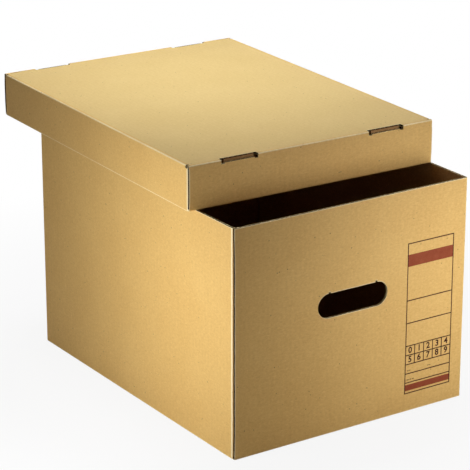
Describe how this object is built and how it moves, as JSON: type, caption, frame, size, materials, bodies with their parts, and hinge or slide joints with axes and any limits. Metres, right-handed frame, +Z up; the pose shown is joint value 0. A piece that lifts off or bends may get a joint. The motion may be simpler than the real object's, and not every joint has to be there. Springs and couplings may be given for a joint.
{
  "type": "archival box",
  "caption": "Corrugated board storage box for upright files, with hand holes, folded bottom flaps and a separate tray lid.",
  "frame": {"origin": "centre of the body's base, on the floor", "axes": "+X right along the labelled front face, +Y from the front wall to the back wall, +Z up"},
  "size_m": [0.3514, 0.5319, 0.3343],
  "materials": {
    "kraft_board": "matte kraft paper over corrugated board",
    "kraft_board_inside": "matte brown kraft, unbleached inside",
    "kraft_board_lid": "matte kraft paper over corrugated board"
  },
  "bodies": {
    "box": {"front_wall": "kraft_board", "back_wall": "kraft_board", "right_wall": "kraft_board", "left_wall": "kraft_board", "glue_flap": "kraft_board"},
    "left_bottom_flap": {"left_bottom_flap": "kraft_board_inside"},
    "right_bottom_flap": {"right_bottom_flap": "kraft_board_inside"},
    "front_bottom_flap": {"front_bottom_flap": "kraft_board_inside"},
    "back_bottom_flap": {"back_bottom_flap": "kraft_board_inside"},
    "front_handle_flap": {"front_handle_flap": "kraft_board_inside"},
    "back_handle_flap": {"back_handle_flap": "kraft_board_inside"},
    "lid": {"lid_top_panel": "kraft_board_lid", "lid_right_skirt": "kraft_board_lid", "lid_left_skirt": "kraft_board_lid", "lid_front_skirt": "kraft_board_lid", "lid_back_skirt": "kraft_board_lid", "lid_front_inner_panel": "kraft_board_lid", "lid_back_inner_panel": "kraft_board_lid", "lid_front_right_tab": "kraft_board_lid", "lid_front_left_tab": "kraft_board_lid", "lid_back_right_tab": "kraft_board_lid", "lid_back_left_tab": "kraft_board_lid"}
  },
  "joints": [
    {"name": "lid_lift", "type": "slide", "parent": "box", "child": "lid", "axis": [0, 0, 1], "range_m": [0, 0.35]},
    {"name": "left_bottom_crease", "type": "hinge", "parent": "box", "child": "left_bottom_flap", "pos_m": [-0.1622, 0, 0], "axis": [0, 1, 0], "range_deg": [0, 170]},
    {"name": "right_bottom_crease", "type": "hinge", "parent": "box", "child": "right_bottom_flap", "pos_m": [0.1622, 0, 0], "axis": [0, -1, 0], "range_deg": [0, 170]},
    {"name": "front_bottom_crease", "type": "hinge", "parent": "box", "child": "front_bottom_flap", "pos_m": [0, -0.2147, 0.0063], "axis": [1, 0, 0], "range_deg": [0, 75]},
    {"name": "back_bottom_crease", "type": "hinge", "parent": "box", "child": "back_bottom_flap", "pos_m": [0, 0.2147, 0.0063], "axis": [-1, 0, 0], "range_deg": [0, 75]},
    {"name": "front_handle_crease", "type": "hinge", "parent": "box", "child": "front_handle_flap", "pos_m": [0, -0.21485, 0.176], "axis": [-1, 0, 0], "range_deg": [0, 180]},
    {"name": "back_handle_crease", "type": "hinge", "parent": "box", "child": "back_handle_flap", "pos_m": [0, 0.21485, 0.176], "axis": [1, 0, 0], "range_deg": [0, 180]}
  ]
}
